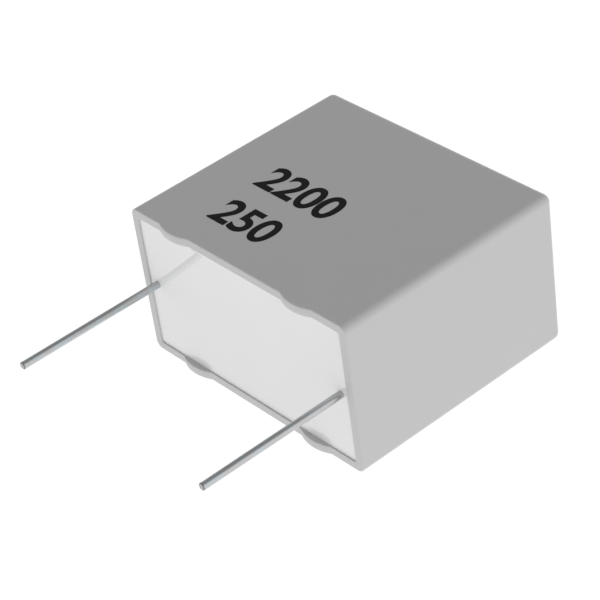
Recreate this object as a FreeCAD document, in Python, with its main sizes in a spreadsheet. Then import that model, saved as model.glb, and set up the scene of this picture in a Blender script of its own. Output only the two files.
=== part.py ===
import FreeCAD, Part

# Box film capacitor: a moulded case, potted with cast resin round a flattened film winding,
# with one wire lead soldered to each sprayed end of the winding.
#
# The capacitor lies on one of its two large sides. The origin is the centre of that resting
# face, +X runs from the left lead to the right one, the leads point along -Y, and +Z is up.
# The case is open towards -Y, and the middle of its depth is at Y = 0.

import os

import Sketcher

# Driving dimensions, in millimetres, with two angles in degrees
SIZES = [
    ("lead_pitch", 27.5, "between the two lead axes"),
    ("lead_diameter", 0.8, "round stretch of a lead"),
    ("lead_reach", 17.0, "from the rim plane to a lead's free end"),
    ("lead_bevel", 0.08, "broken edge of a lead's cut end"),
    ("lead_cover", 0.64, "resin between a lead and the end wall"),
    ("lead_overlap", 16.0, "stretch of a lead that lies beside the winding"),
    ("tail_thickness", 0.46, "pressed flat stretch of a lead"),
    ("press_length", 1.4, "run over which a lead turns from round to flat"),
    ("wall", 0.96, "case wall at the mouth"),
    ("base_wall", 1.2, "case wall at the closed end"),
    ("draft_angle", 0.5, "lean of the cavity walls, in degrees"),
    ("case_thickness", 17.5, "across the two large sides"),
    ("case_depth", 27.5, "from the rim plane to the closed end"),
    ("edge_radius", 0.7, "outer long edges and closed end"),
    ("cavity_radius", 0.3, "inner corners of the cavity"),
    ("standoff_radius", 5.0, "arc of a standoff"),
    ("standoff_height", 0.5, "crest of a standoff above the rim plane"),
    ("standoff_inset", 6.75, "from the case's end to the middle of a standoff"),
    ("resin_recess", 0.24, "edge of the resin's face below the rim plane"),
    ("meniscus_depth", 0.06, "dip of the resin's face below its edge"),
    ("meniscus_width", 0.4, "sloping border of the resin's face"),
    ("face_cover", 2.2, "from the rim plane to the wrapped winding"),
    ("side_cover", 0.6, "resin between the wrapped winding and a large side"),
    ("base_cover", 0.8, "resin between the wrapped winding and the closed end"),
    ("wrap_thickness", 0.3, "plain film wound round the winding"),
    ("contact_thickness", 0.5, "metal sprayed on each end of the winding"),
    ("solder_length", 7.0, "solder joint, along the lead"),
    ("solder_width", 2.6, "solder joint, across the lead"),
    ("solder_cover", 0.25, "solder over the flat of the lead"),
    ("solder_slope", 30.0, "lean of the solder's sides, in degrees"),
]

# Sizes that follow from the driving dimensions. Those that are places in the case's depth
# are counted forwards, towards the mouth, from the middle of the depth.
CASE_LENGTH = "(Sizes.lead_pitch + Sizes.lead_diameter + 2 * (Sizes.lead_cover + Sizes.wall))"
CAVITY_LENGTH = "(" + CASE_LENGTH + " - 2 * Sizes.wall)"
CAVITY_HEIGHT = "(Sizes.case_thickness - 2 * Sizes.wall)"
MID_HEIGHT = "(Sizes.case_thickness / 2)"
RIM = "(Sizes.case_depth / 2)"
CREST = "(" + RIM + " + Sizes.standoff_height)"
CAVITY_END = "(Sizes.base_wall - " + RIM + ")"
RESIN_EDGE = "(" + RIM + " - Sizes.resin_recess)"
RESIN_FACE = "(" + RESIN_EDGE + " - Sizes.meniscus_depth)"
WRAP_FRONT = "(" + RIM + " - Sizes.face_cover)"
WRAP_BACK = "(" + CAVITY_END + " + Sizes.base_cover)"
WRAP_MIDDLE = "((" + WRAP_FRONT + " + " + WRAP_BACK + ") / 2)"
WRAP_DEPTH = "(" + WRAP_FRONT + " - " + WRAP_BACK + ")"
WRAP_HEIGHT = "(" + CAVITY_HEIGHT + " - 2 * Sizes.side_cover)"
WINDING_DEPTH = "(" + WRAP_DEPTH + " - 2 * Sizes.wrap_thickness)"
WINDING_HEIGHT = "(" + WRAP_HEIGHT + " - 2 * Sizes.wrap_thickness)"
CONTACT_FACE = "((Sizes.lead_pitch - Sizes.tail_thickness) / 2)"
WINDING_REACH = "(" + CONTACT_FACE + " - Sizes.contact_thickness)"
TAIL_START = "(" + RESIN_FACE + " - Sizes.press_length)"
TAIL_END = "(" + WRAP_FRONT + " - Sizes.lead_overlap)"
SOLDER_MIDDLE = "(" + WRAP_FRONT + " - Sizes.lead_overlap / 2)"
SOLDER_HEIGHT = "(Sizes.tail_thickness + Sizes.solder_cover)"

# A wire that is pressed flat keeps the area of its section, and its sides stay round
WIRE_AREA = "(pi * Sizes.lead_diameter ^ 2 / 4)"
ROUND_SIDES = "(pi * Sizes.tail_thickness ^ 2 / 4)"
FLAT_WIDTH = "((" + WIRE_AREA + " - " + ROUND_SIDES + ") / Sizes.tail_thickness)"
TAIL_WIDTH = "(" + FLAT_WIDTH + " + Sizes.tail_thickness)"

# Two points nearer than this are taken to be one, in millimetres
SAME_PLACE = 0.001

doc = FreeCAD.newDocument("BoxFilmCapacitor")
sheet = doc.addObject("Spreadsheet::Sheet", "Sizes")
for row, (alias, value, meaning) in enumerate(SIZES, start=1):
    sheet.set("A%d" % row, alias)
    sheet.set("B%d" % row, str(value))
    sheet.set("C%d" % row, meaning)
    sheet.setAlias("B%d" % row, alias)
doc.recompute()


def number(expression):
    """The value that an expression over the sheet has now."""
    return float(sheet.evalExpression(expression))


def camel(name):
    """A document object's name, made from a sub-part's name."""
    return name.title().replace("_", "")


# Sketches and features


def new_body(name):
    """A body whose label is the sub-part's name."""
    body = doc.addObject("PartDesign::Body", camel(name))
    body.Label = name
    return body


def origin_plane(body, role):
    """One of a body's own origin planes, such as XZ_Plane."""
    return next(plane for plane in body.Origin.OriginFeatures if plane.Role == role)


def new_sketch(body, name, role, across="0", up="0", forward="0"):
    """A sketch on a body's own plane, shifted across and up in that plane and along its normal."""
    sketch = body.newObject("Sketcher::SketchObject", name)
    sketch.AttachmentSupport = [(origin_plane(body, role), "")]
    sketch.MapMode = "FlatFace"
    for axis, shift in (("x", across), ("y", up), ("z", forward)):
        sketch.setExpression("AttachmentOffset.Base." + axis, shift)
    return sketch


def dimension(sketch, name, kind, places, expression):
    """A named dimension of a sketch, bound to the sheet."""
    index = sketch.addConstraint(Sketcher.Constraint(kind, *places, number(expression)))
    sketch.renameConstraint(index, name)
    sketch.setExpression("Constraints." + name, expression)


def draw_rectangle(sketch, width, height):
    """A rectangle about the sketch's origin."""
    x = number(width) / 2
    y = number(height) / 2
    corners = [FreeCAD.Vector(*corner) for corner in ((-x, -y), (x, -y), (x, y), (-x, y))]
    for side in range(4):
        sketch.addGeometry(Part.LineSegment(corners[side], corners[(side + 1) % 4]))
        direction = "Vertical" if side % 2 else "Horizontal"
        sketch.addConstraint(Sketcher.Constraint(direction, side))
    for side in range(4):
        sketch.addConstraint(Sketcher.Constraint("Coincident", side, 2, (side + 1) % 4, 1))
    sketch.addConstraint(Sketcher.Constraint("Symmetric", 0, 1, 2, 1, -1, 1))
    dimension(sketch, "width", "DistanceX", (0, 1, 0, 2), width)
    dimension(sketch, "height", "DistanceY", (1, 1, 1, 2), height)


def draw_circle(sketch, diameter):
    """A circle about the sketch's origin. It has four arcs, so that a loft can match them with
    the four sides of a stadium."""
    radius = number(diameter) / 2
    quarter = FreeCAD.Rotation(FreeCAD.Vector(0, 0, 1), 90)
    first = FreeCAD.Vector(1, 1, 0).normalize() * radius
    crown = FreeCAD.Vector(0, radius, 0)
    for _ in range(4):
        following = quarter.multVec(first)
        sketch.addGeometry(Part.Arc(first, crown, following))
        first = following
        crown = quarter.multVec(crown)
    for step in range(4):
        sketch.addConstraint(Sketcher.Constraint("Coincident", step, 2, (step + 1) % 4, 1))
    for step in range(1, 4):
        sketch.addConstraint(Sketcher.Constraint("Equal", 0, step))
    sketch.addConstraint(Sketcher.Constraint("Symmetric", 0, 1, 2, 1, -1, 1))
    sketch.addConstraint(Sketcher.Constraint("Symmetric", 1, 1, 3, 1, -1, 1))
    sketch.addConstraint(Sketcher.Constraint("Horizontal", 0, 1, 0, 2))
    dimension(sketch, "diameter", "Diameter", (0,), diameter)
    dimension(sketch, "chord", "DistanceX", (0, 2, 0, 1), diameter + " * sqrt(0.5)")


def draw_stadium(sketch, name, long_side, short_side, upright=False):
    """Two flats joined by round ends, about the sketch's origin. It may be one of several."""
    first = sketch.GeometryCount
    radius = number(short_side) / 2
    reach = number(long_side) / 2 - radius
    turn = FreeCAD.Rotation(FreeCAD.Vector(0, 0, 1), 90 if upright else 0)

    def at(x, y):
        return turn.multVec(FreeCAD.Vector(x, y, 0))

    sketch.addGeometry(Part.Arc(at(reach, -radius), at(reach + radius, 0), at(reach, radius)))
    sketch.addGeometry(Part.LineSegment(at(reach, radius), at(-reach, radius)))
    sketch.addGeometry(Part.Arc(at(-reach, radius), at(-reach - radius, 0), at(-reach, -radius)))
    sketch.addGeometry(Part.LineSegment(at(-reach, -radius), at(reach, -radius)))
    for step in range(4):
        joint = (first + step, 2, first + (step + 1) % 4, 1)
        sketch.addConstraint(Sketcher.Constraint("Tangent", *joint))
    sketch.addConstraint(Sketcher.Constraint("Symmetric", first, 3, first + 2, 3, -1, 1))
    direction = "Vertical" if upright else "Horizontal"
    sketch.addConstraint(Sketcher.Constraint(direction, first + 1))
    dimension(sketch, name + "_short_side", "Diameter", (first,), short_side)
    centres = "DistanceY" if upright else "DistanceX"
    apart = long_side + " - " + short_side
    dimension(sketch, name + "_centres", centres, (first + 2, 3, first, 3), apart)


def draw_cap(sketch, radius, rise):
    """The cap of a circle, whose chord lies across the sketch's origin and which bulges down."""
    half_chord = (number(radius) ** 2 - (number(radius) - number(rise)) ** 2) ** 0.5
    left = FreeCAD.Vector(-half_chord, 0, 0)
    right = FreeCAD.Vector(half_chord, 0, 0)
    sketch.addGeometry(Part.Arc(left, FreeCAD.Vector(0, -number(rise), 0), right))
    sketch.addGeometry(Part.LineSegment(right, left))
    sketch.addConstraint(Sketcher.Constraint("Coincident", 0, 2, 1, 1))
    sketch.addConstraint(Sketcher.Constraint("Coincident", 1, 2, 0, 1))
    sketch.addConstraint(Sketcher.Constraint("Symmetric", 0, 1, 0, 2, -1, 1))
    sketch.addConstraint(Sketcher.Constraint("Horizontal", 1))
    dimension(sketch, "radius", "Radius", (0,), radius)
    dimension(sketch, "centre_above_chord", "DistanceY", (-1, 1, 0, 3), radius + " - " + rise)


def extrude(body, kind, name, sketch, length, backwards=False, both_ways=False):
    """A Pad or a Pocket of a sketch."""
    feature = body.newObject("PartDesign::" + kind, name)
    feature.Profile = sketch
    feature.setExpression("Length", length)
    feature.Reversed = backwards
    feature.SideType = "Symmetric" if both_ways else "One side"
    return feature


def loft(body, kind, name, first, last):
    """A straight loft, added or taken away, between two sketches."""
    feature = body.newObject("PartDesign::" + kind, name)
    feature.Profile = first
    feature.Sections = [last]
    feature.Ruled = True
    return feature


def dress_edges(body, kind, name, feature, size, chosen):
    """A Fillet or a Chamfer on every edge of a feature for which chosen(edge's box) holds."""
    doc.recompute()
    edges = enumerate(feature.Shape.Edges, start=1)
    dressed = body.newObject("PartDesign::" + kind, name)
    dressed.Base = (feature, ["Edge%d" % at for at, edge in edges if chosen(edge.BoundBox)])
    dressed.setExpression({"Fillet": "Radius", "Chamfer": "Size"}[kind], size)
    return dressed


def place_at(body, x, y, z):
    """Ties a body's placement to the sheet."""
    for axis, expression in (("x", x), ("y", y), ("z", z)):
        body.setExpression("Placement.Base." + axis, expression)


def cut_away(name, base, tool):
    """What is left of a base once a tool's room is taken from it."""
    result = doc.addObject("Part::Cut", camel(name))
    result.Label = name
    result.Base = base
    result.Tool = tool
    return result


# Sub-parts


def make_case():
    """A moulded box, open at the front, with arc standoffs on the rims of its large sides."""
    body = new_body("case")
    outline = new_sketch(body, "CaseOutline", "XZ_Plane", up=MID_HEIGHT, forward="-" + RIM)
    draw_rectangle(outline, CASE_LENGTH, "Sizes.case_thickness")
    block = extrude(body, "Pad", "Block", outline, "Sizes.case_depth")
    rim = -number(RIM)
    dress_edges(
        body,
        "Fillet",
        "OuterEdges",
        block,
        "Sizes.edge_radius",
        lambda box: box.YMax > rim + SAME_PLACE,
    )

    # Each standoff starts as a ridge across the whole thickness, and the cavity takes its middle
    middle = CASE_LENGTH + " / 2 - Sizes.standoff_inset"
    arc = new_sketch(body, "StandoffArc", "XY_Plane", across=middle, up="-" + RIM)
    draw_cap(arc, "Sizes.standoff_radius", "Sizes.standoff_height")
    ridge = extrude(body, "Pad", "StandoffRidge", arc, "Sizes.case_thickness")
    pair = body.newObject("PartDesign::Mirrored", "StandoffPair")
    pair.Originals = [ridge]
    pair.MirrorPlane = (origin_plane(body, "YZ_Plane"), [""])
    body.Tip = pair

    # The walls thicken from the mouth to the closed end, so that the mould's core can leave
    cavity = body.newObject("PartDesign::SubtractiveWedge", "Cavity")
    cavity.setExpression("Ymin", "-" + CREST)
    cavity.setExpression("Ymax", "-" + CAVITY_END)
    taper = "tan(Sizes.draft_angle) * (" + CREST + " - " + CAVITY_END + ")"
    for axis, middle, width in (("X", "0", CAVITY_LENGTH), ("Z", MID_HEIGHT, CAVITY_HEIGHT)):
        for end, way in (("min", -1), ("max", 1)):
            mouth = "%s + %d * %s / 2" % (middle, way, width)
            cavity.setExpression(axis + end, mouth)
            cavity.setExpression(axis + "2" + end, "%s - %d * %s" % (mouth, way, taper))
    mid_wall_x = number(CAVITY_LENGTH + " / 2 + Sizes.wall / 2")
    mid_wall_z = number("Sizes.wall / 2")

    def in_cavity(box):
        between_ends = -mid_wall_x < box.XMin and box.XMax < mid_wall_x
        between_sides = mid_wall_z < box.ZMin and box.ZMax < 2 * number(MID_HEIGHT) - mid_wall_z
        return between_ends and between_sides and box.YMax > rim + SAME_PLACE

    dress_edges(body, "Fillet", "CavityCorners", cavity, "Sizes.cavity_radius", in_cavity)
    return body


def make_lead(side, name):
    """A wire that is round outside and pressed flat where it lies on the sprayed metal."""
    body = new_body(name)
    title = camel(name)
    section = new_sketch(body, title + "Section", "XZ_Plane")
    draw_circle(section, "Sizes.lead_diameter")
    length = "Sizes.lead_reach + " + RIM + " - " + RESIN_FACE
    wire = extrude(body, "Pad", title + "Wire", section, length)
    tip = -number(length)
    dress_edges(
        body,
        "Chamfer",
        title + "CutEnd",
        wire,
        "Sizes.lead_bevel",
        lambda box: box.YMax < tip + SAME_PLACE,
    )

    flat = new_sketch(body, title + "Flat", "XZ_Plane", forward="-Sizes.press_length")
    draw_stadium(flat, "flat", TAIL_WIDTH, "Sizes.tail_thickness", upright=True)
    loft(body, "AdditiveLoft", title + "Pressed", section, flat)
    extrude(body, "Pad", title + "Tail", flat, TAIL_START + " - " + TAIL_END, backwards=True)
    place_at(body, "%d * Sizes.lead_pitch / 2" % side, "-" + RESIN_FACE, MID_HEIGHT)
    return body


def make_winding():
    """Metallised film wound into a roll and pressed flat, which is one solid block of turns."""
    body = new_body("film_winding")
    section = new_sketch(body, "WindingSection", "YZ_Plane")
    draw_stadium(section, "winding", WINDING_DEPTH, WINDING_HEIGHT)
    extrude(body, "Pad", "Winding", section, "2 * " + WINDING_REACH, both_ways=True)
    place_at(body, "0", "-" + WRAP_MIDDLE, MID_HEIGHT)
    return body


def make_wrap():
    """The last turns, of plain film, which hold the winding together."""
    body = new_body("outer_wrap")
    section = new_sketch(body, "WrapSection", "YZ_Plane")
    draw_stadium(section, "outside", WRAP_DEPTH, WRAP_HEIGHT)
    draw_stadium(section, "inside", WINDING_DEPTH, WINDING_HEIGHT)
    extrude(body, "Pad", "Wrap", section, "2 * " + WINDING_REACH, both_ways=True)
    place_at(body, "0", "-" + WRAP_MIDDLE, MID_HEIGHT)
    return body


def make_contact_layer(side, name):
    """Metal sprayed over one end of the winding, which joins the edges of all its turns."""
    body = new_body(name)
    section = new_sketch(body, camel(name) + "Section", "YZ_Plane")
    draw_stadium(section, "layer", WINDING_DEPTH, WINDING_HEIGHT)
    extrude(
        body, "Pad", camel(name) + "Layer", section, "Sizes.contact_thickness", backwards=side < 0
    )
    place_at(body, "%d * %s" % (side, WINDING_REACH), "-" + WRAP_MIDDLE, MID_HEIGHT)
    return body


def make_solder_joint(side, name, lead):
    """A mound of solder that holds the flat of a lead to the sprayed metal."""
    mound = new_body(name + "_mound")
    footprint = new_sketch(mound, camel(name) + "Footprint", "YZ_Plane")
    draw_stadium(footprint, "footprint", "Sizes.solder_length", "Sizes.solder_width")
    heap = extrude(
        mound, "Pad", camel(name) + "Heap", footprint, SOLDER_HEIGHT, backwards=side < 0
    )
    heap.setExpression("TaperAngle", "-Sizes.solder_slope")
    place_at(mound, "%d * %s" % (side, CONTACT_FACE), "-" + SOLDER_MIDDLE, MID_HEIGHT)
    return cut_away(name, mound, lead)


def make_resin(case, potted):
    """Cast resin, which fills all the room in the case that the potted pieces leave."""
    body = new_body("resin_block")
    outline = new_sketch(body, "ResinOutline", "XZ_Plane", up=MID_HEIGHT, forward=RESIN_EDGE)
    draw_rectangle(outline, CAVITY_LENGTH + " + Sizes.wall", CAVITY_HEIGHT + " + Sizes.wall")
    reach = RESIN_EDGE + " - " + CAVITY_END + " + Sizes.base_wall / 2"
    extrude(body, "Pad", "ResinBlock", outline, reach, backwards=True)

    # The resin wets the walls, so its face dips inside a sloping border
    border = new_sketch(body, "ResinBorder", "XZ_Plane", up=MID_HEIGHT, forward=RESIN_EDGE)
    draw_rectangle(border, CAVITY_LENGTH, CAVITY_HEIGHT)
    field = new_sketch(body, "ResinField", "XZ_Plane", up=MID_HEIGHT, forward=RESIN_FACE)
    slopes = " - 2 * Sizes.meniscus_width"
    draw_rectangle(field, CAVITY_LENGTH + slopes, CAVITY_HEIGHT + slopes)
    loft(body, "SubtractiveLoft", "ResinDip", border, field)

    mould = doc.addObject("Part::MultiFuse", "Mould")
    mould.Shapes = [case] + potted
    return cut_away("resin_fill", body, mould)


case = make_case()
winding = make_winding()
wrap = make_wrap()
potted = [winding, wrap]
for side, hand in ((-1, "left"), (1, "right")):
    lead = make_lead(side, "lead_" + hand)
    layer = make_contact_layer(side, "contact_layer_" + hand)
    solder = make_solder_joint(side, "solder_joint_" + hand, lead)
    potted += [layer, lead, solder]
resin = make_resin(case, potted)
doc.recompute()

# Nothing is written unless every feature is sound and every sub-part is one closed solid
for feature in doc.Objects:
    if {"Invalid", "Error"} & set(feature.State):
        raise RuntimeError("%s failed: %s" % (feature.Label, feature.getStatusString()))
for piece in [case, resin] + potted:
    shape = piece.Shape
    if shape.isNull() or not shape.isValid() or len(shape.Solids) != 1:
        raise RuntimeError("%s isn't one valid solid" % piece.Label)

os.makedirs("parts", exist_ok=True)
for piece in [case, resin] + potted:
    piece.Shape.exportStep("parts/%s.step" % piece.Label)
    print("%-22s %10.2f mm3" % (piece.Label, piece.Shape.Volume))
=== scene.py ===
"""Looks of a box film capacitor: a light grey moulded case, closed with glossy white epoxy,
with two straight tinned wires and a printed rating on its upper large side.

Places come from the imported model. X runs from the left wire to the right one, the wires point
along -Y, Z is up, and the case lies on Z = 0. Lengths are in metres.
"""

import math

import bmesh
import bpy
from mathutils import Matrix, Vector


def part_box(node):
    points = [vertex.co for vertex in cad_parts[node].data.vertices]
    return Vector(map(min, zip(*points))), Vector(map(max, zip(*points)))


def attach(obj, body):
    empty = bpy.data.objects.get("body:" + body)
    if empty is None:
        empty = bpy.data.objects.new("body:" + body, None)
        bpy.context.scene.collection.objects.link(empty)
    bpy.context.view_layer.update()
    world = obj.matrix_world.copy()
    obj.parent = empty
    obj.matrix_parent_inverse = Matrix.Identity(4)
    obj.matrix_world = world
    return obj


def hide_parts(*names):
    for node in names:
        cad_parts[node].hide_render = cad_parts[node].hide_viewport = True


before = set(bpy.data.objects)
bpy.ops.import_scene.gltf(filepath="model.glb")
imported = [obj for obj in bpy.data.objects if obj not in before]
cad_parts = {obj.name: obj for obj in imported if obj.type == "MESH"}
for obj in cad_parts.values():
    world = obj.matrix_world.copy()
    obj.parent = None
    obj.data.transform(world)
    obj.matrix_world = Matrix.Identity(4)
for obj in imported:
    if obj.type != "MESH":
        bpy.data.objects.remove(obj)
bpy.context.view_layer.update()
CASE_LOW, CASE_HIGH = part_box("case")
RESIN_LOW, RESIN_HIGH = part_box("resin_fill")
WINDING_LOW, WINDING_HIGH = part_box("film_winding")

bl_info = {
    "name": "Box film capacitor",
    "version": (1, 0, 0),
    "blender": (4, 5, 0),
    "location": "3D View > Sidebar > Capacitor",
    "description": "Models and finishes a box film capacitor round its packed frame",
    "category": "Object",
}

MM = 0.001

# Corners that are nearer to each other than this are one corner
WELD = 0.0005 * MM

# Two faces that meet at more than this angle share a sharp edge
CREASE = math.radians(40)

# Two faces that meet at less than this angle are parts of one flat
SAME_FLAT = math.radians(0.2)

# A face looks forward, along -Y, where its normal's share along -Y is more than the first of
# these, and it is level, square to Y, where it is more than the second
FORWARD = 0.7
LEVEL = 0.9999


def linear(code):
    """An sRGB hex value, such as C8C8C8, as a linear colour with full alpha."""
    channels = [int(code[at : at + 2], 16) / 255 for at in (0, 2, 4)]
    low = [c / 12.92 for c in channels]
    high = [((c + 0.055) / 1.055) ** 2.4 for c in channels]
    return [a if c <= 0.04045 else b for c, a, b in zip(channels, low, high)] + [1.0]


def length(name, description, default):
    """A length that a user may change."""
    return bpy.props.FloatProperty(
        name=name,
        description=description,
        default=default,
        precision=5,
        subtype="DISTANCE",
        unit="LENGTH",
    )


def angle(name, description, degrees):
    """An angle that a user may change."""
    return bpy.props.FloatProperty(
        name=name,
        description=description,
        default=math.radians(degrees),
        subtype="ANGLE",
        unit="ROTATION",
    )


def number(name, description, default):
    """A plain number, not below zero, that a user may change."""
    return bpy.props.FloatProperty(
        name=name, description=description, default=default, min=0, precision=3
    )


def colour(name, description, code):
    """A colour that a user may change, from its sRGB hex value."""
    return bpy.props.FloatVectorProperty(
        name=name,
        description=description,
        default=linear(code),
        size=4,
        min=0,
        max=1,
        subtype="COLOR",
    )


def settings_group(kind, name, description):
    """A group of settings."""
    return bpy.props.PointerProperty(type=kind, name=name, description=description)


# Settings


class CaseSettings(bpy.types.PropertyGroup):
    edge_radius: length("Edge radius", "Outer long edges and closed end", 0.85 * MM)
    cavity_radius: length("Cavity radius", "Inner corners of the cavity", 0.3 * MM)
    draft: angle("Draft", "Lean of the cavity walls, which lets the mould's core leave", 0.5)
    rim_break: length("Rim break", "Broken inner edges of the rim", 0.06 * MM)
    outer_break: length("Outer break", "Broken outer edges of the rim", 0.15 * MM)
    standoff_radius: length("Standoff radius", "Arc of a standoff", 5.0 * MM)
    standoff_height: length("Standoff height", "Crest of a standoff above the rim", 0.5 * MM)
    standoff_inset: length(
        "Standoff inset", "From the case's end to a standoff's middle", 6.75 * MM
    )
    grey: colour("Plastic", "Body colour of the moulded plastic", "C3C3C3")
    grain: length("Grain", "Pitch of the mould's spark-eroded texture", 0.16 * MM)


class ResinSettings(bpy.types.PropertyGroup):
    remade: length("Remade depth", "How much of the packed resin's front is made anew", 0.08 * MM)
    rise: length("Rise", "How far the resin's edge stands in front of the packed one", 0.07 * MM)
    dip: length("Dip", "Depth of the resin's face below its edge", 0.04 * MM)
    climb_width: length("Climb width", "Border where the resin climbs what it wets", 0.3 * MM)
    sink: length("Sink", "How deep the face sinks in the middle as the resin shrinks", 0.26 * MM)
    white: colour("Epoxy", "Colour of the filled epoxy", "E6E6E6")


class WireSettings(bpy.types.PropertyGroup):
    tail_thickness: length("Tail thickness", "Pressed flat stretch inside the resin", 0.46 * MM)
    press_length: length("Press length", "Run from the round to the flat section", 1.4 * MM)
    cut_bevel: length("Cut bevel", "Broken edge of the cut end", 0.08 * MM)
    cut_dish: length("Cut dish", "Hollow that the cutter leaves in the cut end", 0.02 * MM)
    tin: colour("Tin", "Colour of thick tin", "BFC7CB")
    thin_tin: colour("Thin tin", "Colour of tin that the copper shows through", "C2C1C1")
    core: colour("Core", "Colour of the metal that the cut lays bare", "B4B3B2")
    # The broken edge's darker grey is painted shade: it stands in for the shading of the angled
    # edge
    painted_edge_shade: colour("Painted_shade", "Colour of the edge that the cutter drags over", "7C7E80")


class RatingSettings(bpy.types.PropertyGroup):
    capacitance: bpy.props.StringProperty(
        name="Capacitance", description="Capacitance in nanofarads", default="2200"
    )
    voltage: bpy.props.StringProperty(
        name="Voltage", description="Rated voltage in volts", default="250"
    )
    capacitance_end: length("Capacitance end", "Right end of the first line", 1.5 * MM)
    capacitance_foot: length("Capacitance foot", "Foot of the first line", -3.4 * MM)
    voltage_end: length("Voltage end", "Right end of the second line", -0.5 * MM)
    voltage_foot: length("Voltage foot", "Foot of the second line", -10.05 * MM)
    figure_height: length("Figure height", "Height of a printed figure", 4.0 * MM)
    boldness: number(
        "Boldness", "How far a figure's outline is drawn out, as a share of its size", 0.024
    )
    ink_thickness: length("Ink thickness", "Printed ink above the plastic", 0.012 * MM)
    ink: colour("Ink", "Colour of the printing ink", "101010")


class StageSettings(bpy.types.PropertyGroup):
    lens: number("Lens", "Focal length in millimetres", 138.86)
    azimuth: angle("Azimuth", "Camera's turn round the object, from its front", 53.156)
    elevation: angle("Elevation", "Camera's height over the horizon", 36.014)
    roll: angle("Roll", "Camera's turn about its own axis", -8.485)
    distance: length("Distance", "From the camera to the point it looks at", 227.556 * MM)
    aim: bpy.props.FloatVectorProperty(
        name="Aim",
        description="Point that the camera looks at",
        default=(0.537 * MM, -6.805 * MM, 9.557 * MM),
        precision=5,
        subtype="TRANSLATION",
        unit="LENGTH",
    )
    floor_side: length("Floor side", "Side of the square floor", 6.0)
    floor: colour("Floor", "Colour of the floor, apart from its glow", "595959")
    glow: number("Glow", "Light from the floor itself", 0.96)
    ceiling: number("Ceiling", "Light from the ceiling, as a share of the surround's", 0.335)
    ceiling_edge: number("Ceiling edge", "Height of a direction where the ceiling begins", 0.34)
    ceiling_full: number("Ceiling full", "Height of a direction where the ceiling is darkest", 0.7)
    ceiling_tilt: number(
        "Ceiling tilt", "How much lower the ceiling reaches towards the left", 0.25
    )


class CapacitorSettings(bpy.types.PropertyGroup):
    case: settings_group(CaseSettings, "Case", "Sizes and colour of the moulded case")
    resin: settings_group(ResinSettings, "Resin", "Sizes and colour of the cast resin")
    wire: settings_group(WireSettings, "Wires", "Sizes and colours of the wire leads")
    rating: settings_group(RatingSettings, "Rating", "Printed figures, their places and ink")
    stage: settings_group(StageSettings, "Stage", "Camera, floor and light")


# Materials


def add_node(tree, kind, inputs=(), **settings):
    """A node with its settings, and with each input set to a value or linked from an output."""
    node = tree.nodes.new(kind)
    for name, value in settings.items():
        setattr(node, name, value)
    for name, value in dict(inputs).items():
        if isinstance(value, bpy.types.NodeSocket):
            tree.links.new(value, node.inputs[name])
        else:
            node.inputs[name].default_value = value
    return node


def new_material(name):
    """An empty node material, with its tree and the place that its patterns are read from."""
    material = bpy.data.materials.new(name)
    material.use_nodes = True
    tree = material.node_tree
    tree.nodes.clear()
    place = add_node(tree, "ShaderNodeTexCoord").outputs["Object"]
    return material, tree, place


def add_surface(tree, **inputs):
    """The material's shader and output. Underscores in the names stand for spaces."""
    named = {name.replace("_", " "): value for name, value in inputs.items()}
    shader = add_node(tree, "ShaderNodeBsdfPrincipled", named)
    add_node(tree, "ShaderNodeOutputMaterial", {"Surface": shader.outputs["BSDF"]})


def shaded(colour_value, factor):
    """A colour made darker or lighter by a factor."""
    return [channel * factor for channel in colour_value[:3]] + [1.0]


def moulded_polyester(case):
    """Injection moulded, glass filled polyester. A spark-eroded mould gives it a satin face with
    a fine even grain, and the filler makes the grey drift a little from place to place."""
    material, tree, place = new_material("moulded_polyester")
    filler = add_node(
        tree,
        "ShaderNodeTexNoise",
        {"Vector": place, "Scale": 1 / (4 * MM), "Detail": 4.0},
    )
    grey = add_node(
        tree,
        "ShaderNodeMix",
        {
            "Factor": filler.outputs["Fac"],
            "A": shaded(case.grey, 0.985),
            "B": shaded(case.grey, 1.015),
        },
        data_type="RGBA",
    )
    # The real grain is about 0.04 mm, which no pixel can show, so it is drawn four times as coarse
    grain = add_node(
        tree,
        "ShaderNodeTexNoise",
        {"Vector": place, "Scale": 1 / case.grain, "Detail": 3.0},
    )
    relief = add_node(
        tree,
        "ShaderNodeBump",
        {"Height": grain.outputs["Fac"], "Strength": 0.35, "Distance": 0.006 * MM},
    )
    satin = add_node(
        tree,
        "ShaderNodeMapRange",
        {"Value": filler.outputs["Fac"], "To Min": 0.42, "To Max": 0.5},
    )
    add_surface(
        tree,
        Base_Color=grey.outputs["Result"],
        Roughness=satin.outputs["Result"],
        IOR=1.55,
        Normal=relief.outputs["Normal"],
    )
    return material


def cast_epoxy(resin):
    """White epoxy, cast and cured in the case. It levels itself to a gloss and shows its mineral
    filler as faint clouds. Epoxy has an IOR of about 1.55, and 1.8 gives the gloss its strength."""
    material, tree, place = new_material("cast_epoxy")
    clouds = add_node(
        tree,
        "ShaderNodeTexNoise",
        {"Vector": place, "Scale": 1 / (5 * MM), "Detail": 3.0},
    )
    white = add_node(
        tree,
        "ShaderNodeMix",
        {
            "Factor": clouds.outputs["Fac"],
            "A": shaded(resin.white, 0.985),
            "B": shaded(resin.white, 1.01),
        },
        data_type="RGBA",
    )
    gloss = add_node(
        tree,
        "ShaderNodeMapRange",
        {"Value": clouds.outputs["Fac"], "To Min": 0.02, "To Max": 0.05},
    )
    add_surface(
        tree,
        Base_Color=white.outputs["Result"],
        Roughness=gloss.outputs["Result"],
        IOR=1.8,
    )
    return material


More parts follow.
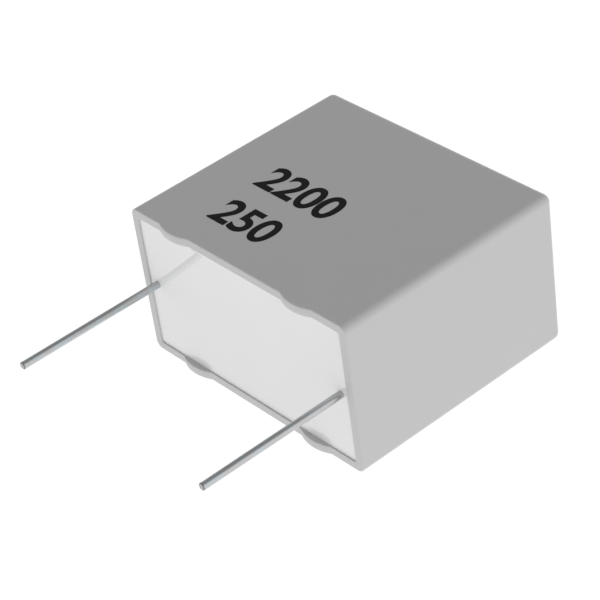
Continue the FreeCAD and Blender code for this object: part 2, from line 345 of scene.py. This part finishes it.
def tinned_wire(wire):
    """Copper wire, drawn and hot tinned. The die leaves fine lines along it, and the tin is
    bluish where it is thick and warmer where the copper shows through."""
    material, tree, place = new_material("tinned_wire")
    # A die line is about 0.02 mm wide, and it is drawn at 0.06 mm so that it shows
    along = add_node(
        tree,
        "ShaderNodeMapping",
        {"Vector": place, "Scale": (1 / (0.06 * MM), 1 / (5 * MM), 1 / (0.06 * MM))},
    )
    lines = add_node(
        tree,
        "ShaderNodeTexNoise",
        {"Vector": along.outputs["Vector"], "Scale": 1.0, "Detail": 3.0},
    )
    patches = add_node(
        tree,
        "ShaderNodeTexNoise",
        {"Vector": place, "Scale": 1 / (1.5 * MM), "Detail": 2.0},
    )
    thickness = add_node(
        tree,
        "ShaderNodeMapRange",
        {"Value": patches.outputs["Fac"], "From Min": 0.4, "From Max": 0.6},
    )
    tin = add_node(
        tree,
        "ShaderNodeMix",
        {"Factor": thickness.outputs["Result"], "A": wire.thin_tin, "B": wire.tin},
        data_type="RGBA",
    )
    dullness = add_node(
        tree,
        "ShaderNodeMapRange",
        {"Value": lines.outputs["Fac"], "To Min": 0.18, "To Max": 0.38},
    )
    relief = add_node(
        tree,
        "ShaderNodeBump",
        {"Height": lines.outputs["Fac"], "Strength": 0.4, "Distance": 0.006 * MM},
    )
    add_surface(
        tree,
        Base_Color=tin.outputs["Result"],
        Metallic=1.0,
        Roughness=dullness.outputs["Result"],
        Normal=relief.outputs["Normal"],
    )
    return material


def sheared_metal(name, bare):
    """Metal that a cutter has sheared. It is rougher than the drawn side, with marks down it. Where
    its colour is darker, on the end's broken edge, that is painted shade.
    """
    material, tree, place = new_material(name)
    downwards = add_node(
        tree,
        "ShaderNodeMapping",
        {"Vector": place, "Scale": (1 / (0.05 * MM), 1 / (0.4 * MM), 1 / (0.4 * MM))},
    )
    marks = add_node(
        tree,
        "ShaderNodeTexNoise",
        {"Vector": downwards.outputs["Vector"], "Scale": 1.0, "Detail": 2.0},
    )
    relief = add_node(
        tree,
        "ShaderNodeBump",
        {"Height": marks.outputs["Fac"], "Strength": 0.4, "Distance": 0.008 * MM},
    )
    add_surface(
        tree,
        Base_Color=bare,
        Metallic=1.0,
        Roughness=0.5,
        Normal=relief.outputs["Normal"],
    )
    return material


def printing_ink(rating):
    """Pad-printed ink. It dries to a thin matt film, a little less dense here and there. Its rough
    pigment mirrors almost nothing, which the low IOR stands for."""
    material, tree, place = new_material("printing_ink")
    density = add_node(
        tree,
        "ShaderNodeTexNoise",
        {"Vector": place, "Scale": 1 / (0.5 * MM), "Detail": 3.0},
    )
    ink = add_node(
        tree,
        "ShaderNodeMix",
        {
            "Factor": density.outputs["Fac"],
            "A": shaded(rating.ink, 0.85),
            "B": shaded(rating.ink, 1.2),
        },
        data_type="RGBA",
    )
    matt = add_node(
        tree,
        "ShaderNodeMapRange",
        {"Value": density.outputs["Fac"], "To Min": 0.55, "To Max": 0.7},
    )
    add_surface(tree, Base_Color=ink.outputs["Result"], Roughness=matt.outputs["Result"], IOR=1.25)
    return material


def metallised_film():
    """Polyester film with a vapour-deposited skin of aluminium, wound and pressed flat. The
    edges of its turns show as fine rings round the middle of the winding."""
    material, tree, place = new_material("metallised_film")
    middle = (WINDING_LOW + WINDING_HIGH) / 2
    half_height = (WINDING_HIGH.z - WINDING_LOW.z) / 2
    straight = (WINDING_HIGH.y - WINDING_LOW.y) / 2 - half_height
    centred = add_node(
        tree,
        "ShaderNodeVectorMath",
        {0: place, 1: middle},
        operation="SUBTRACT",
    )
    folded = add_node(
        tree,
        "ShaderNodeVectorMath",
        {0: centred.outputs["Vector"]},
        operation="ABSOLUTE",
    )
    # X is shortened by the whole width, which leaves nothing of it in the distance
    shortened = add_node(
        tree,
        "ShaderNodeVectorMath",
        {0: folded.outputs["Vector"], 1: (WINDING_HIGH.x - WINDING_LOW.x, straight, 0.0)},
        operation="SUBTRACT",
    )
    outside = add_node(
        tree,
        "ShaderNodeVectorMath",
        {0: shortened.outputs["Vector"], 1: (0.0, 0.0, 0.0)},
        operation="MAXIMUM",
    )
    distance = add_node(
        tree,
        "ShaderNodeVectorMath",
        {0: outside.outputs["Vector"]},
        operation="LENGTH",
    )
    # A turn is about 0.01 mm thick, and one ring is drawn for every thirty turns
    rings = add_node(
        tree,
        "ShaderNodeMath",
        {0: distance.outputs["Value"], 1: 0.3 * MM},
        operation="PINGPONG",
    )
    relief = add_node(
        tree,
        "ShaderNodeBump",
        {"Height": rings.outputs["Value"], "Strength": 0.5, "Distance": 0.1},
    )
    add_surface(
        tree,
        Base_Color=linear("D6D8DA"),
        Metallic=0.8,
        Roughness=0.28,
        Normal=relief.outputs["Normal"],
    )
    return material


def plain_film():
    """Clear polypropylene film, wound tight. Its turns lie on each other as a milky gloss, with
    faint wrinkles across the winding's length."""
    material, tree, place = new_material("plain_film")
    across = add_node(
        tree,
        "ShaderNodeMapping",
        {"Vector": place, "Scale": (1 / (0.8 * MM), 1 / (12 * MM), 1 / (12 * MM))},
    )
    wrinkles = add_node(
        tree,
        "ShaderNodeTexNoise",
        {"Vector": across.outputs["Vector"], "Scale": 1.0, "Detail": 2.0},
    )
    relief = add_node(
        tree,
        "ShaderNodeBump",
        {"Height": wrinkles.outputs["Fac"], "Strength": 0.3, "Distance": 0.03 * MM},
    )
    add_surface(
        tree,
        Base_Color=linear("DADCD6"),
        Roughness=0.16,
        IOR=1.49,
        Normal=relief.outputs["Normal"],
    )
    return material


def sprayed_zinc():
    """Molten zinc, sprayed on the winding's end. The drops freeze as they land and leave a rough
    matt crust."""
    material, tree, place = new_material("sprayed_zinc")
    drops = add_node(tree, "ShaderNodeTexVoronoi", {"Vector": place, "Scale": 1 / (0.2 * MM)})
    relief = add_node(
        tree,
        "ShaderNodeBump",
        {"Height": drops.outputs["Distance"], "Strength": 0.8, "Distance": 0.05 * MM},
    )
    add_surface(
        tree,
        Base_Color=linear("B9BBBD"),
        Metallic=1.0,
        Roughness=0.62,
        Normal=relief.outputs["Normal"],
    )
    return material


def frozen_solder():
    """Tin solder, flowed over the wire's flat. It freezes with a frosted skin of small crystals."""
    material, tree, place = new_material("frozen_solder")
    frost = add_node(
        tree,
        "ShaderNodeTexNoise",
        {"Vector": place, "Scale": 1 / (0.25 * MM), "Detail": 5.0},
    )
    dullness = add_node(
        tree,
        "ShaderNodeMapRange",
        {"Value": frost.outputs["Fac"], "To Min": 0.25, "To Max": 0.5},
    )
    relief = add_node(
        tree,
        "ShaderNodeBump",
        {"Height": frost.outputs["Fac"], "Strength": 0.3, "Distance": 0.02 * MM},
    )
    add_surface(
        tree,
        Base_Color=linear("D0D2D5"),
        Metallic=1.0,
        Roughness=dullness.outputs["Result"],
        Normal=relief.outputs["Normal"],
    )
    return material


# Modelling


def finish_piece(name, bm, materials, stands_for=()):
    """Makes the piece of a finished bmesh, smooth but for its sharp edges, and has it ride the
    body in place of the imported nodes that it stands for."""
    for face in bm.faces:
        face.smooth = True
    for edge in bm.edges:
        edge.smooth = edge.calc_face_angle(0) < CREASE
    mesh = bpy.data.meshes.new(name)
    bm.to_mesh(mesh)
    bm.free()
    for material in materials:
        mesh.materials.append(material)
    piece = bpy.data.objects.new(name, mesh)
    bpy.context.scene.collection.objects.link(piece)
    # Large flats keep their own normals, so that rounded edges don't shade them
    flats = piece.modifiers.new("flats", "WEIGHTED_NORMAL")
    flats.keep_sharp = True
    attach(piece, "root")
    if stands_for:
        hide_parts(*stands_for)


def enlarge(bm, times):
    """Scales a mesh about the origin. Blender's fills are made for metres and go wrong on edges of
    hundredths of a millimetre, so they get an enlarged mesh."""
    bmesh.ops.scale(bm, vec=(times, times, times), verts=bm.verts)


def bevel_edges(bm, chosen, offset, segments, affect="EDGES"):
    """Rounds the chosen edges, or corners of a flat outline."""
    return bmesh.ops.bevel(
        bm,
        geom=list(chosen),
        offset=offset,
        segments=segments,
        profile=0.5,
        affect=affect,
        material=-1,
        clamp_overlap=True,
    )


def cut_faces(bm, faces, place, across):
    """Cuts some faces along a plane through a place."""
    edges = {edge for face in faces for edge in face.edges}
    verts = {vert for face in faces for vert in face.verts}
    bmesh.ops.bisect_plane(
        bm,
        geom=[*faces, *edges, *verts],
        dist=WELD,
        plane_co=place,
        plane_no=across,
    )


def draw_on(bm, edges, along):
    """Draws a loop of edges on along Y. Gives the new edges and their corners."""
    drawn = bmesh.ops.extrude_edge_only(bm, edges=edges)["geom"]
    verts = [item for item in drawn if isinstance(item, bmesh.types.BMVert)]
    bmesh.ops.translate(bm, verts=verts, vec=(0, along, 0))
    return [item for item in drawn if isinstance(item, bmesh.types.BMEdge)], verts


def fit_corners(bm, verts, old, new):
    """Takes the corners of a rounded rectangle from an old size to a new one. A size is half the
    width, half the height and the corners' radius."""
    times = new[2] / old[2]
    middle = (CASE_LOW.z + CASE_HIGH.z) / 2
    for side in (-1, 1):
        for level in (-1, 1):
            before = Vector((side * (old[0] - old[2]), 0, middle + level * (old[1] - old[2])))
            after = Vector((side * (new[0] - new[2]), 0, middle + level * (new[1] - new[2])))
            about = Matrix.Translation(-before)
            beside = [vert for vert in verts if side * vert.co.x > 0]
            corner = [vert for vert in beside if level * (vert.co.z - middle) > 0]
            bmesh.ops.scale(bm, vec=(times, 1, times), space=about, verts=corner)
            bmesh.ops.translate(bm, vec=after - before, verts=corner)


def draw_skin(bm, edges, size, depth, lean):
    """Draws a rounded rectangle back through a depth, with walls that lean in, to a closed end
    whose edges are as round as its corners."""
    width, height, radius = size
    steps = 10
    reached = 0.0
    for step in range(steps + 1):
        turn = math.pi / 2 * step / steps
        reach = depth - radius * (1 - math.sin(turn))
        inward = lean * reach + radius * (1 - math.cos(turn))
        smaller = (width - inward, height - inward, radius * math.cos(turn))
        edges, verts = draw_on(bm, edges, reach - reached)
        fit_corners(bm, verts, size, smaller)
        size = smaller
        reached = reach
    bmesh.ops.remove_doubles(bm, verts=verts, dist=WELD)
    last = {edge for vert in verts if vert.is_valid for edge in vert.link_edges if edge.is_boundary}
    bmesh.ops.holes_fill(bm, edges=list(last), sides=0)


def rim_faces(bm):
    """The faces of the rim round the case's mouth."""
    forward = [face for face in bm.faces if face.normal.y < -FORWARD]
    return [face for face in forward if face.calc_center_median().y < RESIN_LOW.y]


def raise_standoffs(bm, case):
    """Cuts the rim's faces along each standoff's arc and draws them forward to it."""
    rise = case.standoff_height
    radius = case.standoff_radius
    half_arc = math.acos(1 - rise / radius)
    half_chord = radius * math.sin(half_arc)
    steps = 14
    for side in (-1, 1):
        middle = side * (CASE_HIGH.x - case.standoff_inset)
        for step in range(steps + 1):
            turn = half_arc * (2 * step / steps - 1)
            place = Vector((middle + radius * math.sin(turn), 0, 0))
            cut_faces(bm, rim_faces(bm), place, Vector((1, 0, 0)))
        for vert in {vert for face in rim_faces(bm) for vert in face.verts}:
            away = abs(vert.co.x - middle)
            if away < half_chord:
                vert.co.y -= math.sqrt(radius**2 - away**2) - (radius - rise)


def break_rim(bm, middle, case):
    """Bevels the rim's edges, those to the outer skin apart from those to the cavity."""
    rim = set(rim_faces(bm))
    outer = []
    inner = []
    for edge in bm.edges:
        walls = [face for face in edge.link_faces if face not in rim]
        if len(walls) == 1:
            outwards = walls[0].calc_center_median() - middle
            points_out = walls[0].normal.dot(outwards) > 0
            (outer if points_out else inner).append(edge)
    bevel_edges(bm, outer, case.outer_break, segments=4)
    bevel_edges(bm, inner, case.rim_break, segments=3)


def moulded_case(case):
    """The case's mesh: an outer skin and a tapered cavity, both drawn back from the rim."""
    rim = CASE_LOW.y + case.standoff_height
    lean = math.tan(case.draft)
    spread = lean * (RESIN_LOW.y - rim)
    outside = (CASE_HIGH.x, (CASE_HIGH.z - CASE_LOW.z) / 2, case.edge_radius)
    inside = (
        RESIN_HIGH.x + spread,
        (RESIN_HIGH.z - RESIN_LOW.z) / 2 + spread,
        case.cavity_radius,
    )
    bm = bmesh.new()
    middle = Vector((0, rim, (CASE_LOW.z + CASE_HIGH.z) / 2))
    upright = Matrix.Translation(middle) @ Matrix.Rotation(math.pi / 2, 4, "X")
    stretch = Matrix.Diagonal((outside[0], outside[1], 1, 1))
    bmesh.ops.create_grid(bm, x_segments=1, y_segments=1, size=1, matrix=upright @ stretch)
    bevel_edges(bm, bm.verts, case.edge_radius, segments=10, affect="VERTICES")
    bmesh.ops.delete(bm, geom=bm.faces[:], context="FACES_ONLY")
    rim_edges = bm.edges[:]
    draw_skin(bm, rim_edges, outside, CASE_HIGH.y - rim, 0.0)
    mouth, verts = draw_on(bm, rim_edges, 0.0)
    fit_corners(bm, verts, outside, inside)
    draw_skin(bm, mouth, inside, RESIN_HIGH.y - rim, lean)
    bmesh.ops.recalc_face_normals(bm, faces=bm.faces)
    raise_standoffs(bm, case)
    bm.normal_update()
    break_rim(bm, middle, case)
    return bm


def wetted_borders(bm, behind):
    """The open edges of the cut resin, round each wire and along the walls. Each border comes with
    its middle, its half width, its half height, and 1 where the face lies outside it or -1 where
    the face lies inside it."""
    borders = []
    along_walls = [edge for edge in bm.edges if edge.is_boundary]
    for node in ("lead_left", "lead_right"):
        low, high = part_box(node)
        middle = (low + high) / 2
        radius = (high.x - low.x) / 2
        middle.y = behind
        near = 1.5 * radius
        around = [edge for edge in along_walls if (edge.verts[0].co - middle).length < near]
        along_walls = [edge for edge in along_walls if edge not in around]
        borders.append((around, middle, radius, radius, 1))
    half = (RESIN_HIGH - RESIN_LOW) / 2
    borders.append((along_walls, (RESIN_LOW + RESIN_HIGH) / 2, half.x, half.z, -1))
    return borders


def climb(bm, border, forward, resin):
    """Draws a border forward to the resin's edge and from there down a curve that dies away. Gives
    the edges that the curve ends at."""
    edges, middle, half_x, half_z, way = border
    about = Matrix.Translation(-middle)
    steps = 8
    widening = 1.5
    fall = resin.climb_width / 3
    edges, verts = draw_on(bm, edges, forward)
    before = 0.0
    for step in range(steps):
        after = resin.climb_width * ((step + 1) / steps) ** widening
        drop = resin.dip * (math.exp(-before / fall) - math.exp(-after / fall))
        edges, verts = draw_on(bm, edges, drop)
        stretch_x = (half_x + way * after) / (half_x + way * before)
        stretch_z = (half_z + way * after) / (half_z + way * before)
        bmesh.ops.scale(bm, vec=(stretch_x, 1, stretch_z), space=about, verts=verts)
        before = after
    return edges


def level_faces(bm, behind):
    """The faces of the level part of the resin's visible face."""
    level = [face for face in bm.faces if face.normal.y < -LEVEL]
    return [face for face in level if face.calc_center_median().y < behind]


def cut_to_cells(bm, middle, half, behind):
    """Cuts the level part of the resin's face to cells, smaller towards the walls, and takes out
    the edges of its fill that slant across them."""
    columns = 36
    rows = 28
    ways = ((Vector((1, 0, 0)), half.x, columns), (Vector((0, 0, 1)), half.z, rows))
    for across, reach, cells in ways:
        for cell in range(1, cells):
            place = middle - across * reach * math.cos(math.pi * cell / cells)
            cut_faces(bm, level_faces(bm, behind), place, across)
    level = set(level_faces(bm, behind))
    corners = [vert for vert in bm.verts if level.intersection(vert.link_faces)]
    bmesh.ops.remove_doubles(bm, verts=corners, dist=WELD)
    level = set(level_faces(bm, behind))
    slanting = []
    for edge in bm.edges:
        run = edge.verts[1].co - edge.verts[0].co
        if min(abs(run.x), abs(run.z)) > WELD and level.issuperset(edge.link_faces):
            slanting.append(edge)
    bmesh.ops.dissolve_edges(bm, edges=slanting, use_verts=True)


def sink_face(bm, sink, behind):
    """Sinks the resin's face in a hollow that is deepest in the middle and ends at the walls."""
    middle = (RESIN_LOW + RESIN_HIGH) / 2
    half = (RESIN_HIGH - RESIN_LOW) / 2
    cut_to_cells(bm, middle, half, behind)
    for vert in bm.verts:
        if vert.co.y < behind - WELD:
            share_x = (vert.co.x - middle.x) / half.x
            share_z = (vert.co.z - middle.z) / half.z
            vert.co.y += sink * (1 - share_x**2) * (1 - share_z**2)


def cast_resin(resin):
    """The resin's mesh. Its front is cut off and made anew: it climbs the walls and the wires that
    it wets, and its face is a little hollow."""
    bm = bmesh.new()
    bm.from_mesh(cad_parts["resin_fill"].data)
    bmesh.ops.remove_doubles(bm, verts=bm.verts, dist=WELD)
    bmesh.ops.dissolve_limit(bm, angle_limit=SAME_FLAT, verts=bm.verts, edges=bm.edges)
    behind = RESIN_LOW.y + resin.remade
    bmesh.ops.bisect_plane(
        bm,
        geom=bm.verts[:] + bm.edges[:] + bm.faces[:],
        dist=WELD,
        plane_co=(0, behind, 0),
        plane_no=(0, -1, 0),
        clear_outer=True,
    )
    level_edges = []
    for border in wetted_borders(bm, behind):
        level_edges += climb(bm, border, RESIN_LOW.y - resin.rise - behind, resin)
    enlarge(bm, 1 / MM)
    bmesh.ops.triangle_fill(bm, edges=level_edges, use_beauty=True, normal=(0, -1, 0))
    enlarge(bm, MM)
    bmesh.ops.recalc_face_normals(bm, faces=bm.faces)
    bm.normal_update()
    sink_face(bm, resin.sink, behind)
    return bm


def drawn_wire(node, wire, resin):
    """A lead's mesh: a round wire with a cut end, pressed flat where it lies on the winding. Its
    materials are the drawn side, the cut end and the end's broken edge, whose darker grey is
    painted shade."""
    low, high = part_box(node)
    middle = (low + high) / 2
    radius = (high.x - low.x) / 2
    exit_y = RESIN_LOW.y + resin.dip
    squeeze = wire.tail_thickness / (2 * radius)
    spread = (high.z - low.z) / 2 - wire.tail_thickness / 2
    land = 0.3 * radius
    sides = 64

    bm = bmesh.new()
    upright = Matrix.Translation((middle.x, low.y, middle.z)) @ Matrix.Rotation(math.pi / 2, 4, "X")
    bmesh.ops.create_circle(bm, cap_ends=True, radius=radius, segments=sides, matrix=upright)
    tip = bm.faces[:]
    outline = bm.edges[:]
    station = low.y
    for next_station in (exit_y, exit_y + wire.press_length, high.y):
        outline, verts = draw_on(bm, outline, next_station - station)
        if station == exit_y:
            press_flat(bm, verts, middle, squeeze, spread)
        station = next_station
    bmesh.ops.holes_fill(bm, edges=outline, sides=0)
    bmesh.ops.recalc_face_normals(bm, faces=bm.faces)

    tip_edges = [edge for face in tip for edge in face.edges]
    broken = bevel_edges(bm, tip_edges, wire.cut_bevel, segments=4)
    cut = [face for face in bm.faces if face.normal.y < -LEVEL]
    bmesh.ops.inset_region(bm, faces=cut, thickness=land, depth=-wire.cut_dish)
    for face in bm.faces:
        if face.calc_center_median().y < low.y + wire.cut_bevel:
            face.material_index = 1
    for face in broken["faces"]:
        face.material_index = 2
    return bm


def press_flat(bm, verts, middle, squeeze, spread):
    """Turns a round section into two flats joined by round sides."""
    about = Matrix.Translation(-middle)
    bmesh.ops.scale(bm, vec=(squeeze, 1, squeeze), space=about, verts=verts)
    for way in (-1, 1):
        half = [vert for vert in verts if way * (vert.co.z - middle.z) > WELD]
        bmesh.ops.translate(bm, verts=half, vec=(0, 0, way * spread))


def printed_line(name, figures, right, foot, rating):
    """A line of figures as a thin raised mesh on the case's upper side."""
    # The figures are drawn one unit deep and then made as thin as the ink
    half_depth = 0.5
    text = bpy.data.curves.new(name, "FONT")
    text.body = figures
    text.align_x = "RIGHT"
    text.offset = rating.boldness
    text.resolution_u = 8
    text.extrude = half_depth
    shaper = bpy.data.objects.new(name, text)
    mesh = bpy.data.meshes.new_from_object(shaper)
    bpy.data.objects.remove(shaper)
    bpy.data.curves.remove(text)

    bm = bmesh.new()
    bm.from_mesh(mesh)
    bpy.data.meshes.remove(mesh)
    bmesh.ops.remove_doubles(bm, verts=bm.verts, dist=WELD)
    xs = [vert.co.x for vert in bm.verts]
    ys = [vert.co.y for vert in bm.verts]
    grow = rating.figure_height / (max(ys) - min(ys))
    bmesh.ops.translate(bm, verts=bm.verts, vec=(-max(xs), -min(ys), half_depth))
    bmesh.ops.scale(bm, verts=bm.verts, vec=(grow, grow, rating.ink_thickness))
    bmesh.ops.translate(bm, verts=bm.verts, vec=(right, foot, CASE_HIGH.z))
    return bm


# Operators


class CAPACITOR_OT_mould_case(bpy.types.Operator):
    """Models the moulded case with its four arc standoffs"""

    bl_idname = "capacitor.mould_case"
    bl_label = "Mould Case"

    def execute(self, context):
        case = context.scene.capacitor.case
        mesh = moulded_case(case)
        finish_piece("moulded_case", mesh, [moulded_polyester(case)], ["case"])
        return {"FINISHED"}


class CAPACITOR_OT_cast_resin(bpy.types.Operator):
    """Models the cast resin with its climbing border and its hollow face"""

    bl_idname = "capacitor.cast_resin"
    bl_label = "Cast Resin"

    def execute(self, context):
        resin = context.scene.capacitor.resin
        mesh = cast_resin(resin)
        finish_piece("cast_resin", mesh, [cast_epoxy(resin)], ["resin_fill"])
        return {"FINISHED"}


class CAPACITOR_OT_draw_wires(bpy.types.Operator):
    """Models the two tinned wire leads"""

    bl_idname = "capacitor.draw_wires"
    bl_label = "Draw Wires"

    def execute(self, context):
        settings = context.scene.capacitor
        wire = settings.wire
        metals = [
            tinned_wire(wire),
            sheared_metal("cut_end", wire.core),
            # The broken edge gets a darker grey, which is painted shade
            sheared_metal("shaded_cut_edge", wire.painted_edge_shade),
        ]
        for hand in ("left", "right"):
            node = "lead_" + hand
            mesh = drawn_wire(node, wire, settings.resin)
            finish_piece("wire_" + hand, mesh, metals, [node])
        return {"FINISHED"}


class CAPACITOR_OT_print_rating(bpy.types.Operator):
    """Prints the rating on the upper large side"""

    bl_idname = "capacitor.print_rating"
    bl_label = "Print Rating"

    def execute(self, context):
        rating = context.scene.capacitor.rating
        ink = printing_ink(rating)
        first = (rating.capacitance, rating.capacitance_end, rating.capacitance_foot)
        second = (rating.voltage, rating.voltage_end, rating.voltage_foot)
        for name, line in (("printed_capacitance", first), ("printed_voltage", second)):
            mesh = printed_line(name, *line, rating)
            finish_piece(name, mesh, [ink])
        return {"FINISHED"}


class CAPACITOR_OT_finish_element(bpy.types.Operator):
    """Gives the sealed inner pieces their finishes"""

    bl_idname = "capacitor.finish_element"
    bl_label = "Finish Element"

    def execute(self, context):
        zinc = sprayed_zinc()
        solder = frozen_solder()
        finishes = {
            "film_winding": metallised_film(),
            "outer_wrap": plain_film(),
            "contact_layer_left": zinc,
            "contact_layer_right": zinc,
            "solder_joint_left": solder,
            "solder_joint_right": solder,
        }
        for node, material in finishes.items():
            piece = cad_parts[node]
            for slot in piece.material_slots:
                slot.material = material
        return {"FINISHED"}


class CAPACITOR_OT_set_stage(bpy.types.Operator):
    """Sets the plain pale floor, the soft light and the camera"""

    bl_idname = "capacitor.set_stage"
    bl_label = "Set Stage"

    def execute(self, context):
        stage = context.scene.capacitor.stage
        lay_floor(stage)
        light_studio(context.scene, stage)
        place_camera(context.scene, stage)
        return {"FINISHED"}


def lay_floor(stage):
    """A square floor that glows softly, like a light table."""
    material, tree, place = new_material("light_table")
    dust = add_node(
        tree,
        "ShaderNodeTexNoise",
        {"Vector": place, "Scale": 1 / (250 * MM), "Detail": 2.0},
    )
    dullness = add_node(
        tree,
        "ShaderNodeMapRange",
        {"Value": dust.outputs["Fac"], "To Min": 0.7, "To Max": 0.8},
    )
    add_surface(
        tree,
        Base_Color=stage.floor,
        Roughness=dullness.outputs["Result"],
        Emission_Color=linear("FFFFFF"),
        Emission_Strength=stage.glow,
    )
    bm = bmesh.new()
    bmesh.ops.create_grid(bm, x_segments=1, y_segments=1, size=stage.floor_side / 2)
    mesh = bpy.data.meshes.new("floor")
    bm.to_mesh(mesh)
    bm.free()
    mesh.materials.append(material)
    floor = bpy.data.objects.new("floor", mesh)
    bpy.context.scene.collection.objects.link(floor)


def light_studio(scene, stage):
    """A white surround under a grey ceiling, which reaches lower on the left. The ceiling shows as
    the dark upper half of each wire."""
    scene.view_settings.view_transform = "Standard"
    world = bpy.data.worlds.new("studio")
    world.use_nodes = True
    tree = world.node_tree
    tree.nodes.clear()
    direction = add_node(tree, "ShaderNodeTexCoord").outputs["Generated"]
    height = add_node(
        tree,
        "ShaderNodeVectorMath",
        {0: direction, 1: (-stage.ceiling_tilt, 0.0, 1.0)},
        operation="DOT_PRODUCT",
    )
    strength = add_node(
        tree,
        "ShaderNodeMapRange",
        {
            "Value": height.outputs["Value"],
            "From Min": stage.ceiling_edge,
            "From Max": stage.ceiling_full,
            "To Min": 1.0,
            "To Max": stage.ceiling,
        },
        interpolation_type="SMOOTHSTEP",
    )
    surround = add_node(
        tree,
        "ShaderNodeBackground",
        {"Color": linear("FFFFFF"), "Strength": strength.outputs["Result"]},
    )
    add_node(tree, "ShaderNodeOutputWorld", {"Surface": surround.outputs["Background"]})
    scene.world = world


def place_camera(scene, stage):
    """The camera, at the photograph's viewing angle."""
    lens = bpy.data.cameras.new("camera")
    lens.lens = stage.lens
    lens.sensor_width = 36.0
    lens.clip_start = 1 * MM
    camera = bpy.data.objects.new("camera", lens)
    level = math.cos(stage.elevation)
    away = Vector(
        (
            level * math.sin(stage.azimuth),
            -level * math.cos(stage.azimuth),
            math.sin(stage.elevation),
        )
    )
    camera.location = Vector(stage.aim) + stage.distance * away
    turn = away.to_track_quat("Z", "Y").to_matrix() @ Matrix.Rotation(stage.roll, 3, "Z")
    camera.rotation_euler = turn.to_euler()
    scene.collection.objects.link(camera)
    scene.camera = camera


class CAPACITOR_PT_sidebar(bpy.types.Panel):
    """Lists the steps and the settings"""

    bl_idname = "CAPACITOR_PT_sidebar"
    bl_label = "Box Film Capacitor"
    bl_space_type = "VIEW_3D"
    bl_region_type = "UI"
    bl_category = "Capacitor"

    def draw(self, context):
        settings = context.scene.capacitor
        for title, group, step in STEPS:
            box = self.layout.box()
            box.label(text=title)
            if group:
                chosen = getattr(settings, group)
                for name in chosen.__annotations__:
                    box.prop(chosen, name)
            box.operator(step.bl_idname)


# Each step's title, its group of settings and its operator, in the order of making
STEPS = (
    ("Case", "case", CAPACITOR_OT_mould_case),
    ("Resin", "resin", CAPACITOR_OT_cast_resin),
    ("Wires", "wire", CAPACITOR_OT_draw_wires),
    ("Rating", "rating", CAPACITOR_OT_print_rating),
    ("Element", None, CAPACITOR_OT_finish_element),
    ("Stage", "stage", CAPACITOR_OT_set_stage),
)

CLASSES = (
    CaseSettings,
    ResinSettings,
    WireSettings,
    RatingSettings,
    StageSettings,
    CapacitorSettings,
    *(step for title, group, step in STEPS),
    CAPACITOR_PT_sidebar,
)


def register():
    for made in CLASSES:
        bpy.utils.register_class(made)
    bpy.types.Scene.capacitor = settings_group(
        CapacitorSettings, "Capacitor", "Settings of the box film capacitor"
    )


def unregister():
    del bpy.types.Scene.capacitor
    for made in reversed(CLASSES):
        bpy.utils.unregister_class(made)


def main():
    register()
    bpy.ops.capacitor.set_stage()
    bpy.ops.capacitor.mould_case()
    bpy.ops.capacitor.cast_resin()
    bpy.ops.capacitor.draw_wires()
    bpy.ops.capacitor.print_rating()
    bpy.ops.capacitor.finish_element()


if __name__ == "__main__":
    main()
